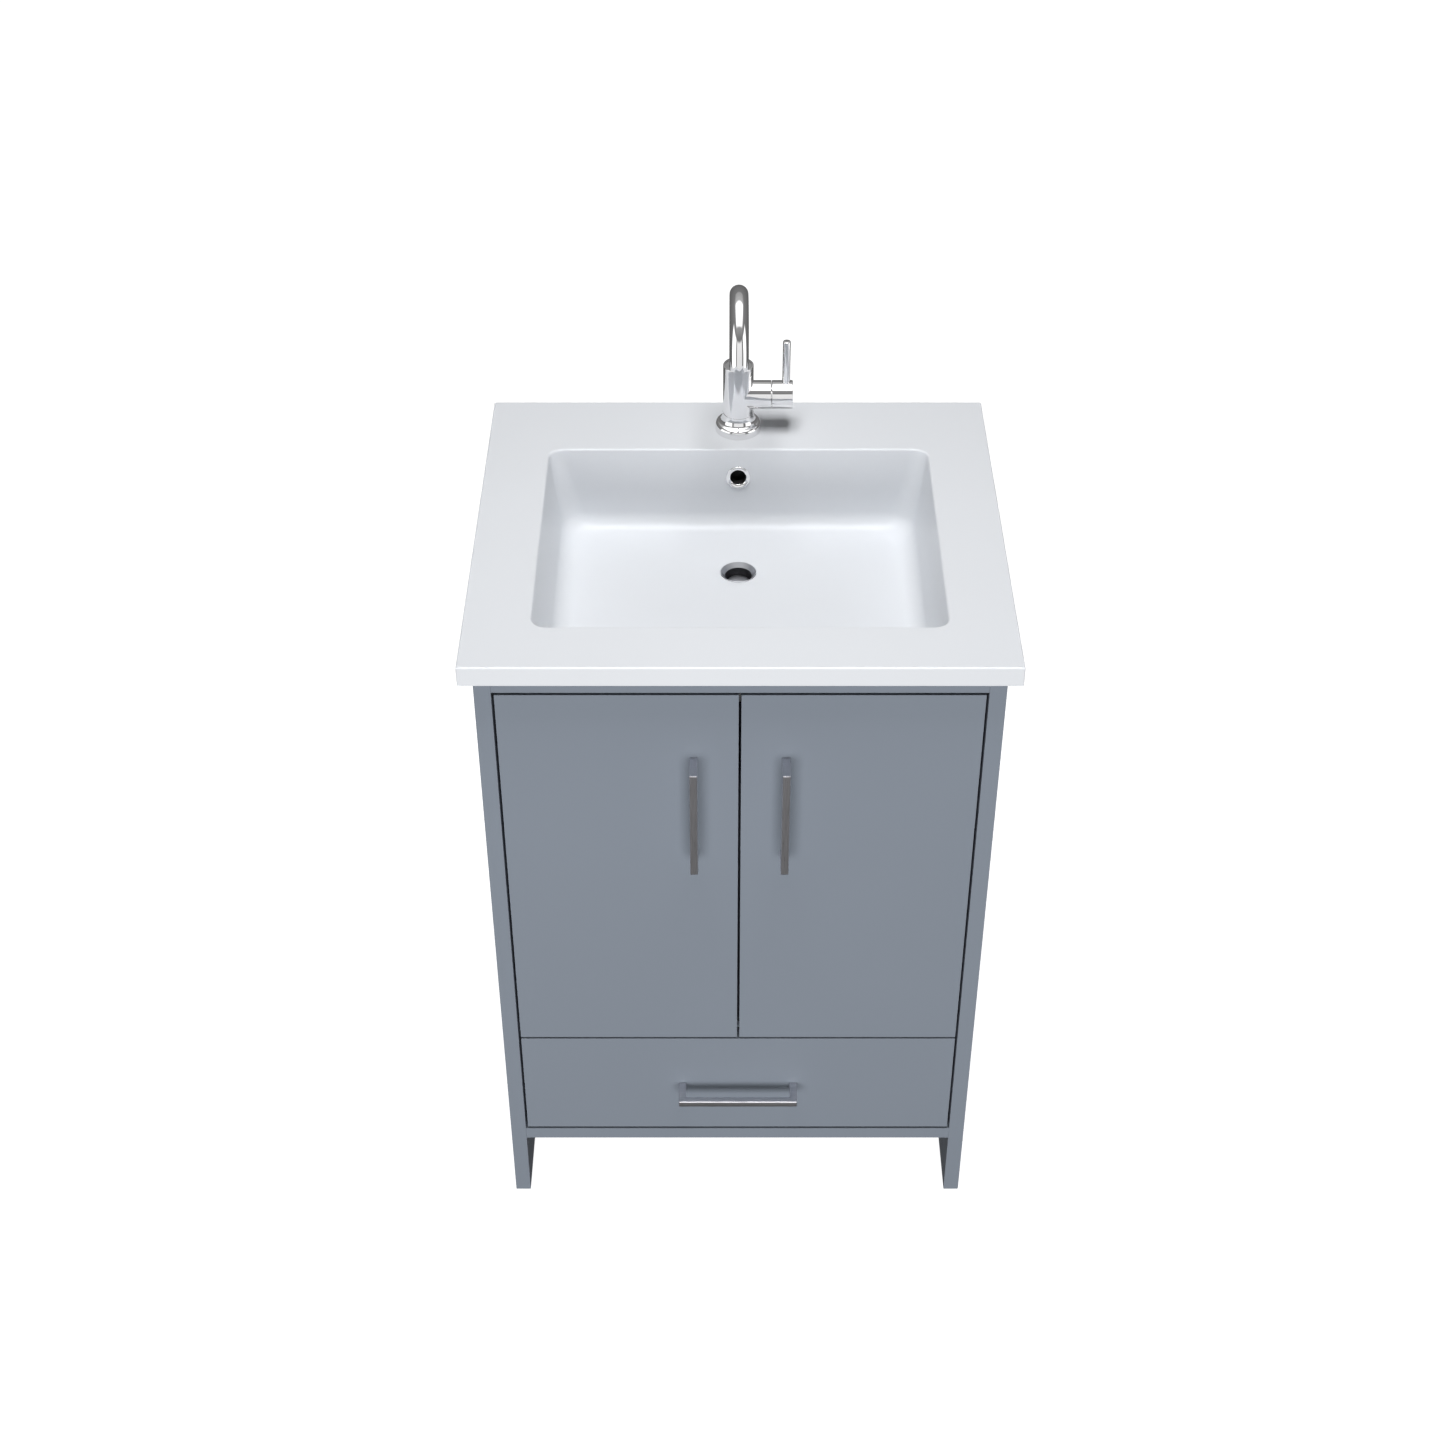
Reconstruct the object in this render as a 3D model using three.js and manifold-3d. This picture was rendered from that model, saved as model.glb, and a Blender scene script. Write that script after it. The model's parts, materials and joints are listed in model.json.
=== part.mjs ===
// A free-standing bathroom vanity: a painted cabinet with two inset doors over one drawer, a ceramic top with
// a moulded basin, its waste fittings, and a single-lever mixer tap with a gooseneck spout.
// Millimetres, +Z up, the front faces -Y. The origin is on the floor, under the middle of the whole object.
import * as THREE from "three";
import { mergeVertices } from "three/addons/utils/BufferGeometryUtils.js";
import Module from "manifold-3d";

const wasm = await Module();
wasm.setup();

// ---------------------------------------------------------------- driving dimensions
// Ceramic top and cabinet envelope
const TOP_WIDTH = 610;
const TOP_DEPTH = 546;
const TOP_THICKNESS = 25;
const DECK_Z = 876;
const OVERHANG = 15;
const HANDLE_REACH = 33;

const BACK_Y = (TOP_DEPTH + HANDLE_REACH - OVERHANG) / 2;
const TOP_FRONT_Y = BACK_Y - TOP_DEPTH;
const FRONT_Y = TOP_FRONT_Y + OVERHANG;
const CARCASS_TOP_Z = DECK_Z - TOP_THICKNESS;

// Cabinet boards
const SIDE_THICKNESS = 19;
const PANEL_THICKNESS = 18;
const BACK_THICKNESS = 6;
const OUTER_X = TOP_WIDTH / 2 - OVERHANG;
const INNER_X = OUTER_X - SIDE_THICKNESS;
const LEG_HEIGHT = 101.5;
const FRONT_RAIL_HEIGHT = 21;
const FRONT_RAIL_DEPTH = 40;
const REAR_RAIL_HEIGHT = 110;
const DIVIDER_Z = 278.5;
const BACK_TOP_Z = 440;

// Doors and drawer front, all inset and flush with the cabinet's front
const REVEAL = 3;
const DOOR_BOTTOM_Z = 289;
const DOOR_TOP_Z = CARCASS_TOP_Z - FRONT_RAIL_HEIGHT - REVEAL;
const DOOR_PIVOT_INSET = 2;
const DRAWER_BOTTOM_Z = 123;
const DRAWER_TOP_Z = DOOR_BOTTOM_Z - REVEAL;
const SHUT_GAP = 2;

// Bar handles
const HANDLE_LENGTH = 147.5;
const HANDLE_BAR = 9;
const DOOR_HANDLE_X = 51.5;
const DOOR_HANDLE_Z = 591.5;
const DRAWER_HANDLE_Z = 202;
const SCREW_RADIUS = 2;
const SCREW_HEAD_RADIUS = 4.5;
const SCREW_HEAD_HEIGHT = 2;
const SCREW_GRIP = 8;

// Concealed hinges
const CUP_RADIUS = 17.25;
const CUP_DEPTH = 11;
const CUP_FROM_EDGE = 22.5;
const CUP_FLANGE = 1;
const HINGE_FROM_END = 100;
const HINGE_PLATE_THICKNESS = 6;

// Drawer box and its three-part ball slides
const DRAWER_SIDE = 12;
const DRAWER_BASE = 6;
const DRAWER_BOX_X = 258;
const DRAWER_BOX_DEPTH = 450;
const DRAWER_BOX_Z = 133;
const DRAWER_BOX_HEIGHT = 120;
const SLIDE_SHEET = 1.25;
const SLIDE_Z = 193;

// Basin
const BASIN_HALF_WIDTH = 229.5;
const BASIN_FRONT_Y = -190;
const BASIN_BACK_Y = 171;
const BASIN_CORNER = 17;
const BASIN_DEPTH = 105;
const BASIN_WALL = 12;
const COVE = 20;
const LEAN = { side: 15, back: 10, front: 14 };
const RIM_CHAMFER = 2.5;
const CORNER_STEPS = 5;

// Waste and overflow
const DRAIN_Y = 70;
const DRAIN_DEPTH = 110.5;
const DRAIN_HOLE = 19.6;
const DRAIN_LIP = 21.2;
const DRAIN_BORE = 15.9;
const DRAIN_FUNNEL = 5.4;
const STOPPER_RADIUS = 14.2;
const BOSS_RADIUS = 34;
const BOSS_DEPTH = 152;
const OVERFLOW_DEPTH = 38;
const OVERFLOW_HOLE = 12;
const OVERFLOW_BORE = 9.8;
const OVERFLOW_RIM = 15;
const OVERFLOW_TILT = Math.atan(LEAN.back / BASIN_DEPTH);
const DUCT = { halfWidth: 20, front: 181, back: 189, top: 145, bottom: 137, wall: 4 };

// Tap
const TAP_Y = 219;
const TAP_HOLE = 17.5;
const TAP_BODY_RADIUS = 18.5;
const TAP_BODY_TOP = 90;
const TAP_BASE_RADIUS = 28.2;
const TAP_BASE_HEIGHT = 24.18;
const FLANGE_SWEEP = 21;
const VALVE_Z = 48.5;
const VALVE_RADIUS = 17.25;
const VALVE_SEAM_X = 40.4;
const SEAM = 0.6;
const HUB_END_X = 66.3;
const LEVER_X = 58;
const LEVER_RADIUS = 4.75;
const LEVER_TOP = 122;
const SPOUT_RADIUS = 11.1;
const SPOUT_BORE = 9.5;
const SPOUT_BEND = 56;
const SPOUT_SPRING_Z = 151.5;
const SPOUT_FOOT_Z = 49;
const SPOUT_OUTLET = 2;

const CLEARANCE = 0.3;
const ROUND = 28;
const MERGE_TOLERANCE = 1e-3;

// ---------------------------------------------------------------- materials
const finish = (color, roughness, metalness) => new THREE.MeshStandardMaterial({ color, roughness, metalness });
const paint = () => finish(0x858c96, 0.5, 0);
const porcelain = () => finish(0xe2e5ea, 0.25, 0);
const chrome = () => finish(0xd8dadd, 0.08, 1);
const nickel = () => finish(0x9a9793, 0.35, 1);
const zinc = () => finish(0xb0b3b6, 0.4, 1);
const brass = () => finish(0xb08d4a, 0.35, 1);
const rubber = () => finish(0x1d1e20, 0.8, 0);
const birch = () => finish(0xcdb48c, 0.6, 0);
const plastic = () => finish(0xe8e8e6, 0.5, 0);

// ---------------------------------------------------------------- geometry helpers
// A closed geometry as a solid that can be cut and joined.
function toSolid(geometry) {
  const bare = geometry.index ? geometry.toNonIndexed() : geometry.clone();
  bare.deleteAttribute("normal");
  bare.deleteAttribute("uv");
  const merged = mergeVertices(bare, MERGE_TOLERANCE);
  const vertProperties = merged.attributes.position.array;
  const triVerts = new Uint32Array(merged.index.array);
  return new wasm.Manifold(new wasm.Mesh({ numProp: 3, vertProperties, triVerts }));
}

function toGeometry(solid) {
  const mesh = solid.getMesh();
  const geometry = new THREE.BufferGeometry();
  geometry.setAttribute("position", new THREE.BufferAttribute(new Float32Array(mesh.vertProperties), 3));
  geometry.setIndex(new THREE.BufferAttribute(new Uint32Array(mesh.triVerts), 1));
  geometry.computeVertexNormals();
  return geometry;
}

const join = (...pieces) => toGeometry(pieces.map(toSolid).reduce((whole, piece) => whole.add(piece)));

function cut(base, ...tools) {
  return toGeometry(tools.map(toSolid).reduce((rest, tool) => rest.subtract(tool), toSolid(base)));
}

// A box between two opposite corners.
function block([x0, y0, z0], [x1, y1, z1]) {
  const box = new THREE.BoxGeometry(x1 - x0, y1 - y0, z1 - z0);
  return box.translate((x0 + x1) / 2, (y0 + y1) / 2, (z0 + z1) / 2);
}

// A body of revolution about Z. The profile is a list of [radius, height], going up the outside.
function turned(profile, segments = ROUND) {
  const points = profile.map(([radius, height]) => new THREE.Vector2(radius, height));
  return new THREE.LatheGeometry(points, segments).rotateX(Math.PI / 2);
}

// A plain cylinder about Z, and a tube about Z.
function rod(radius, bottom, top, segments = ROUND) {
  return turned([[0, bottom], [radius, bottom], [radius, top], [0, top]], segments);
}

function ring(inner, outer, bottom, top, segments = ROUND) {
  return turned([[inner, bottom], [outer, bottom], [outer, top], [inner, top], [inner, bottom]], segments);
}

// Geometry made about Z, laid along another axis: Z becomes +X, or Z becomes +Y.
const alongX = (geometry) => geometry.rotateY(Math.PI / 2);
const alongY = (geometry) => geometry.rotateX(-Math.PI / 2);

function outline(points) {
  return new THREE.Shape(points.map(([x, y]) => new THREE.Vector2(x, y)));
}

// An outline in the XZ plane, swept from y0 to y1.
function prismAlongY(points, y0, y1) {
  const body = new THREE.ExtrudeGeometry(outline(points), { depth: y1 - y0, bevelEnabled: false });
  return body.rotateX(Math.PI / 2).translate(0, y1, 0);
}

// An outline in the YZ plane, swept from x0 to x1.
function prismAlongX(points, x0, x1) {
  const body = new THREE.ExtrudeGeometry(outline(points), { depth: x1 - x0, bevelEnabled: false });
  return body.rotateX(Math.PI / 2).rotateZ(Math.PI / 2).translate(x0, 0, 0);
}

// An outline in the XY plane, swept from z0 to z1.
function prismAlongZ(points, z0, z1) {
  const body = new THREE.ExtrudeGeometry(outline(points), { depth: z1 - z0, bevelEnabled: false });
  return body.translate(0, 0, z0);
}

function piece(name, geometry, material, x = 0, y = 0, z = 0) {
  const mesh = new THREE.Mesh(geometry, material);
  mesh.name = name;
  mesh.position.set(x, y, z);
  return mesh;
}

// A board between two opposite corners, as a centred box placed by its position.
function board(name, material, [x0, y0, z0], [x1, y1, z1]) {
  const box = new THREE.BoxGeometry(x1 - x0, y1 - y0, z1 - z0);
  return piece(name, box, material, (x0 + x1) / 2, (y0 + y1) / 2, (z0 + z1) / 2);
}

function groupAt(x, y, z, ...children) {
  const group = new THREE.Group();
  group.position.set(x, y, z);
  group.add(...children);
  return group;
}

const SIDES = [
  { word: "left", sign: -1 },
  { word: "right", sign: 1 },
];

// The two corners of a box that is mirrored to one side of the middle plane.
function mirrored(sign, [x0, y0, z0], [x1, y1, z1]) {
  const xs = [sign * x0, sign * x1].sort((a, b) => a - b);
  return [[xs[0], y0, z0], [xs[1], y1, z1]];
}

// ---------------------------------------------------------------- cabinet
function cabinet() {
  const bottomTop = LEG_HEIGHT + PANEL_THICKNESS;
  const dividerTop = DIVIDER_Z + PANEL_THICKNESS;
  const dividerFront = FRONT_Y + PANEL_THICKNESS + SHUT_GAP;
  const railBottom = CARCASS_TOP_Z - FRONT_RAIL_HEIGHT;
  const panelBack = BACK_Y - BACK_THICKNESS;
  const sides = SIDES.map(({ word, sign }) => {
    const corners = mirrored(sign, [INNER_X, FRONT_Y, 0], [OUTER_X, BACK_Y, CARCASS_TOP_Z]);
    return board(`side_panel_${word}`, paint(), ...corners);
  });
  return groupAt(
    0, 0, 0,
    ...sides,
    board("bottom_panel", paint(), [-INNER_X, FRONT_Y, LEG_HEIGHT], [INNER_X, BACK_Y, bottomTop]),
    board("drawer_divider", paint(), [-INNER_X, dividerFront, DIVIDER_Z], [INNER_X, panelBack, dividerTop]),
    board("top_rail_front", paint(), [-INNER_X, FRONT_Y, railBottom],
      [INNER_X, FRONT_Y + FRONT_RAIL_DEPTH, CARCASS_TOP_Z]),
    board("wall_rail_rear", paint(), [-INNER_X, BACK_Y - PANEL_THICKNESS, CARCASS_TOP_Z - REAR_RAIL_HEIGHT],
      [INNER_X, BACK_Y, CARCASS_TOP_Z]),
    board("back_panel", paint(), [-INNER_X, panelBack, bottomTop], [INNER_X, BACK_Y, BACK_TOP_Z]),
  );
}

// ---------------------------------------------------------------- ceramic top
// A closed ring of points round a rectangle with rounded corners, the same number on each corner.
function rectangleRing(halfWidth, front, back, radius, z) {
  const centres = [
    [halfWidth - radius, back - radius],
    [radius - halfWidth, back - radius],
    [radius - halfWidth, front + radius],
    [halfWidth - radius, front + radius],
  ];
  const points = [];
  centres.forEach(([x, y], quarter) => {
    for (let step = 0; step <= CORNER_STEPS; step++) {
      const angle = ((quarter + step / CORNER_STEPS) * Math.PI) / 2;
      points.push(new THREE.Vector3(x + radius * Math.cos(angle), y + radius * Math.sin(angle), z));
    }
  });
  return points;
}

function circleRing(centreY, radius, z) {
  const count = 4 * (CORNER_STEPS + 1);
  return Array.from({ length: count }, (_, i) => {
    const angle = ((i + 0.5) / count) * 2 * Math.PI;
    return new THREE.Vector3(radius * Math.cos(angle), centreY + radius * Math.sin(angle), z);
  });
}

// A closed solid through a stack of rings, listed upwards, with a fan over each end.
function loft(rings) {
  const positions = [];
  const triangle = (...corners) => corners.forEach((corner) => positions.push(corner.x, corner.y, corner.z));
  const centre = (points) =>
    points.reduce((sum, point) => sum.add(point), new THREE.Vector3()).divideScalar(points.length);
  const count = rings[0].length;
  const top = rings[rings.length - 1];
  const bottomCentre = centre(rings[0]);
  const topCentre = centre(top);
  for (let i = 0; i < count; i++) {
    const next = (i + 1) % count;
    triangle(bottomCentre, rings[0][next], rings[0][i]);
    triangle(topCentre, top[i], top[next]);
    for (let level = 0; level + 1 < rings.length; level++) {
      const [low, high] = [rings[level], rings[level + 1]];
      triangle(low[i], low[next], high[next]);
      triangle(low[i], high[next], high[i]);
    }
  }
  return new THREE.BufferGeometry().setAttribute("position", new THREE.Float32BufferAttribute(positions, 3));
}

// The basin's wall at one depth, grown outwards by an amount, with the walls leaning in as they go down.
function basinRing(depth, grow, inset, radius) {
  const share = Math.min(depth, BASIN_DEPTH) / BASIN_DEPTH;
  return rectangleRing(
    BASIN_HALF_WIDTH + grow - inset - LEAN.side * share,
    BASIN_FRONT_Y - grow + inset + LEAN.front * share,
    BASIN_BACK_Y + grow - inset - LEAN.back * share,
    radius,
    -depth,
  );
}

function coveRings(floorDepth, grow, radius, steps) {
  return Array.from({ length: steps + 1 }, (_, i) => {
    const angle = ((1 - i / steps) * Math.PI) / 2;
    const inset = COVE * (1 - Math.cos(angle));
    return basinRing(floorDepth - COVE * (1 - Math.sin(angle)), grow, inset, radius - inset / 3);
  });
}

function basinCavity() {
  return loft([
    circleRing(DRAIN_Y, DRAIN_LIP + 0.5, -DRAIN_DEPTH),
    circleRing(DRAIN_Y, BOSS_RADIUS, -DRAIN_DEPTH + 1.5),
    ...coveRings(BASIN_DEPTH, 0, BASIN_CORNER + 12, 4),
    basinRing(RIM_CHAMFER, 0, 0, BASIN_CORNER),
    basinRing(-1, RIM_CHAMFER + 1, 0, BASIN_CORNER + RIM_CHAMFER + 1),
  ]);
}

function basinShell() {
  const wallTop = TOP_THICKNESS - 5;
  return loft([
    ...coveRings(BASIN_DEPTH + BASIN_WALL, BASIN_WALL, BASIN_CORNER + 20, 3),
    basinRing(wallTop, BASIN_WALL, 0, BASIN_CORNER + BASIN_WALL),
  ]);
}

function ceramicTop() {
  const slab = block([-TOP_WIDTH / 2, TOP_FRONT_Y, -TOP_THICKNESS], [TOP_WIDTH / 2, BACK_Y, 0]);
  const boss = rod(BOSS_RADIUS, -BOSS_DEPTH, -BASIN_DEPTH).translate(0, DRAIN_Y, 0);
  const outer = DUCT.halfWidth + DUCT.wall;
  const ribBack = DUCT.back + DUCT.wall;
  const upright = block([-outer, BASIN_BACK_Y - 15, -BOSS_DEPTH], [outer, ribBack, -TOP_THICKNESS + 1]);
  const arm = block([-outer, DRAIN_Y, -BOSS_DEPTH], [outer, ribBack, -BASIN_DEPTH]);
  const body = join(slab, basinShell(), boss, upright, arm);
  const ductDown = block([-DUCT.halfWidth, DUCT.front, -DUCT.top], [DUCT.halfWidth, DUCT.back, -OVERFLOW_DEPTH]);
  const ductAcross = block([-DUCT.halfWidth, DRAIN_Y, -DUCT.top], [DUCT.halfWidth, DUCT.back, -DUCT.bottom]);
  const overflow = alongY(rod(OVERFLOW_HOLE, -20, 18)).rotateX(-OVERFLOW_TILT);
  overflow.translate(0, overflowWallY(), -OVERFLOW_DEPTH);
  const drainHole = rod(DRAIN_HOLE, -BOSS_DEPTH - 1, -BASIN_DEPTH).translate(0, DRAIN_Y, 0);
  const lipSeat = rod(DRAIN_LIP + CLEARANCE, -DRAIN_DEPTH - 3, -BASIN_DEPTH).translate(0, DRAIN_Y, 0);
  const tapHole = rod(TAP_HOLE, -TOP_THICKNESS - 1, 1).translate(0, TAP_Y, 0);
  return cut(body, basinCavity(), ductDown, ductAcross, overflow, drainHole, lipSeat, tapHole);
}

// Where the basin's leaning back wall stands at the overflow's height.
function overflowWallY() {
  return BASIN_BACK_Y - (LEAN.back * OVERFLOW_DEPTH) / BASIN_DEPTH;
}

function sinkTop() {
  const trim = turned([
    [OVERFLOW_BORE, -10],
    [OVERFLOW_HOLE - CLEARANCE, -10],
    [OVERFLOW_HOLE - CLEARANCE, CLEARANCE],
    [OVERFLOW_RIM, CLEARANCE],
    [OVERFLOW_RIM - 0.4, 1.4],
    [OVERFLOW_RIM - 1.8, 2.2],
    [OVERFLOW_BORE, 1],
    [OVERFLOW_BORE, -10],
  ]);
  const ringMesh = piece("overflow_ring", trim, chrome(), 0, overflowWallY(), -OVERFLOW_DEPTH);
  ringMesh.rotation.x = Math.PI / 2 - OVERFLOW_TILT;
  return groupAt(0, 0, DECK_Z, piece("sink_top", ceramicTop(), porcelain()), ringMesh);
}

// ---------------------------------------------------------------- waste fittings
// Heights are below the drain's lip.
function drain() {
  const seatDepth = 16.5;
  const throat = 12.2;
  const lowerBore = 17;
  const bodyEnd = -72;
  const bossUnderside = DRAIN_DEPTH - BOSS_DEPTH;
  const tube = turned([
    [lowerBore, bodyEnd],
    [DRAIN_HOLE - 0.5, bodyEnd],
    [DRAIN_HOLE - 0.5, -2.5],
    [DRAIN_LIP, -2.5],
    [DRAIN_LIP, -0.6],
    [DRAIN_LIP - 0.8, 0],
    [DRAIN_BORE, -DRAIN_FUNNEL],
    [DRAIN_BORE, -seatDepth],
    [throat, -seatDepth - 5.5],
    [throat, -seatDepth - 8],
    [lowerBore, -seatDepth - 12],
    [lowerBore, bodyEnd],
  ]);
  const portZ = DRAIN_DEPTH - (DUCT.top + DUCT.bottom) / 2;
  const port = block([-5, lowerBore - 4, portZ - 3], [5, DRAIN_LIP + 2, portZ + 3]);
  const gasketBottom = bossUnderside - 5;
  const nutBottom = gasketBottom - 9;
  const sleeve = DRAIN_HOLE - 0.5 + CLEARANCE;
  const nut = cut(rod(32, nutBottom, gasketBottom, 6), rod(sleeve, nutBottom - 1, gasketBottom + 1));
  const tail = ring(14.5, 16.5, -125, -52);
  return groupAt(
    0, DRAIN_Y, DECK_Z - DRAIN_DEPTH,
    piece("drain_body", cut(tube, port), chrome()),
    piece("drain_gasket", ring(sleeve, BOSS_RADIUS - 1, gasketBottom, bossUnderside - CLEARANCE), rubber()),
    piece("drain_nut", nut, brass()),
    piece("drain_tailpiece", tail, chrome()),
  );
}

function stopper() {
  const capBottom = -17.4;
  const cap = turned([
    [0, -45],
    [3, -45],
    [3, capBottom],
    [STOPPER_RADIUS, capBottom],
    [STOPPER_RADIUS, capBottom + 2],
    [STOPPER_RADIUS - 1, capBottom + 3],
    [8, capBottom + 3.5],
    [0, capBottom + 3.6],
  ]);
  return groupAt(
    0, DRAIN_Y, DECK_Z - DRAIN_DEPTH,
    piece("stopper_cap", cap, chrome()),
    piece("stopper_seal", ring(3 + CLEARANCE, STOPPER_RADIUS - 0.8, capBottom - 2, capBottom - CLEARANCE), rubber()),
  );
}

// ---------------------------------------------------------------- tap
// Heights are above the deck, and x and y are from the tap hole's centre.
function tapBody() {
  const column = turned([
    [0, 1.5],
    [TAP_BODY_RADIUS, 1.5],
    [TAP_BODY_RADIUS, TAP_BODY_TOP - 0.8],
    [TAP_BODY_RADIUS - 0.8, TAP_BODY_TOP],
    [0, TAP_BODY_TOP],
  ]);
  const housingEnd = VALVE_SEAM_X - SEAM / 2;
  const housing = alongX(turned([
    [0, 0],
    [VALVE_RADIUS, 0],
    [VALVE_RADIUS, housingEnd - 1],
    [VALVE_RADIUS - 1, housingEnd],
    [0, housingEnd],
  ])).translate(0, 0, VALVE_Z);
  const socket = rod(SPOUT_RADIUS + CLEARANCE, SPOUT_FOOT_Z - 2, TAP_BODY_TOP + 1);
  const waterway = rod(8, 1, SPOUT_FOOT_Z);
  const cartridgeBore = alongX(rod(13.3, 23.5, housingEnd + 1)).translate(0, 0, VALVE_Z);
  const port = alongX(rod(3, 5, 24, 12)).translate(0, 0, VALVE_Z);
  return cut(join(column, housing), socket, waterway, cartridgeBore, port);
}

// The flange's outside, from the top of its upright skirt: a rounded shoulder, then a hollow sweeping up to the body.
function flangeProfile() {
  const skirt = 6.9;
  const shoulder = 5.5;
  const hollow = 6;
  const steep = (72 * Math.PI) / 180;
  const gentle = (25 * Math.PI) / 180;
  const at = ([x, z], radius, angle) => [x + radius * Math.cos(angle), z + radius * Math.sin(angle)];
  const turn = [TAP_BASE_RADIUS - shoulder, skirt];
  const rise = at(turn, shoulder + hollow, steep);
  const shoulderArc = [0, 0.35, 0.7, 1].map((share) => at(turn, shoulder, steep * share));
  const hollowArc = [0.5, 1].map((share) => at(rise, -hollow, steep + (gentle - steep) * share));
  const last = at(rise, FLANGE_SWEEP - hollow, gentle);
  const sweepArc = [0.5, 1].map((share) => at(last, -FLANGE_SWEEP, gentle * (1 - share)));
  return [...shoulderArc, ...hollowArc, ...sweepArc];
}

function tapFixed() {
  const inner = TAP_BODY_RADIUS + CLEARANCE;
  const base = turned([
    [inner, 1.5],
    [TAP_BASE_RADIUS - 1.6, 1.5],
    [TAP_BASE_RADIUS - 1.6, 0],
    [TAP_BASE_RADIUS, 0],
    ...flangeProfile(),
    [inner, TAP_BASE_HEIGHT],
    [inner, 1.5],
  ]);
  const shankRadius = 14;
  const washerTop = -TOP_THICKNESS - CLEARANCE;
  const nut = cut(rod(20.5, washerTop - 11, washerTop - 2.5, 6), rod(shankRadius + CLEARANCE, -50, -20));
  return [
    piece("tap_base", base, chrome()),
    piece("tap_gasket", ring(shankRadius + CLEARANCE, 26.5, 0, 1.2), rubber()),
    piece("tap_body", tapBody(), chrome()),
    piece("tap_shank", ring(8, shankRadius, -70, 1.2), brass()),
    piece("tap_washer", ring(shankRadius + CLEARANCE, 22, washerTop - 2, washerTop), zinc()),
    piece("tap_nut", nut, brass()),
  ];
}

// The spout's centreline: up from its foot, over a half circle towards the basin, and a short way down.
class Gooseneck extends THREE.Curve {
  getPoint(t) {
    const rise = SPOUT_SPRING_Z - SPOUT_FOOT_Z;
    const bend = Math.PI * SPOUT_BEND;
    const along = t * (rise + bend + SPOUT_OUTLET);
    if (along < rise) return new THREE.Vector3(0, 0, SPOUT_FOOT_Z + along);
    if (along > rise + bend) {
      return new THREE.Vector3(0, -2 * SPOUT_BEND, SPOUT_SPRING_Z - (along - rise - bend));
    }
    const angle = (along - rise) / SPOUT_BEND;
    const y = SPOUT_BEND * (Math.cos(angle) - 1);
    return new THREE.Vector3(0, y, SPOUT_SPRING_Z + SPOUT_BEND * Math.sin(angle));
  }
}

function circlePoints(radius, count) {
  return Array.from({ length: count }, (_, i) => {
    const angle = (i / count) * 2 * Math.PI;
    return new THREE.Vector2(radius * Math.cos(angle), radius * Math.sin(angle));
  });
}

function spout() {
  const section = new THREE.Shape(circlePoints(SPOUT_RADIUS, 20));
  section.holes.push(new THREE.Path(circlePoints(SPOUT_BORE, 14)));
  const tube = new THREE.ExtrudeGeometry(section, { steps: 38, extrudePath: new Gooseneck() });
  const mouthZ = SPOUT_SPRING_Z - SPOUT_OUTLET;
  const aerator = turned([
    [0, 3],
    [6.5, 2],
    [7, 0.6],
    [SPOUT_BORE - 0.6, 0.4],
    [SPOUT_BORE - 0.6, 5],
    [0, 6],
  ], 20);
  return [
    piece("spout_tube", tube, chrome()),
    piece("spout_aerator", aerator, plastic(), 0, -2 * SPOUT_BEND, mouthZ),
  ];
}

function cartridge() {
  const sleeve = alongX(ring(7.4, 13, 24, VALVE_SEAM_X - SEAM / 2, 24));
  return piece("valve_cartridge", sleeve, plastic(), 0, 0, VALVE_Z);
}

function lever() {
  const backX = VALVE_SEAM_X + SEAM / 2;
  const hub = alongX(turned([
    [0, backX - 8],
    [5, backX - 8],
    [5, backX],
    [VALVE_RADIUS - 1, backX],
    [VALVE_RADIUS, backX + 1],
    [VALVE_RADIUS, HUB_END_X - 1],
    [VALVE_RADIUS - 1, HUB_END_X],
    [0, HUB_END_X],
  ]));
  const rodFoot = 3;
  const hole = rod(LEVER_RADIUS + CLEARANCE, rodFoot - CLEARANCE, VALVE_RADIUS + 2, 16).translate(LEVER_X, 0, 0);
  const tip = LEVER_TOP - VALVE_Z;
  const handle = turned([
    [0, rodFoot],
    [LEVER_RADIUS, rodFoot],
    [LEVER_RADIUS, tip - 1.5],
    [LEVER_RADIUS - 0.6, tip - 0.5],
    [LEVER_RADIUS - 2, tip],
    [0, tip],
  ], 16);
  return [
    piece("lever_hub", cut(hub, hole), chrome(), 0, 0, VALVE_Z),
    piece("lever_rod", handle, chrome(), LEVER_X, 0, VALVE_Z),
  ];
}

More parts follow.
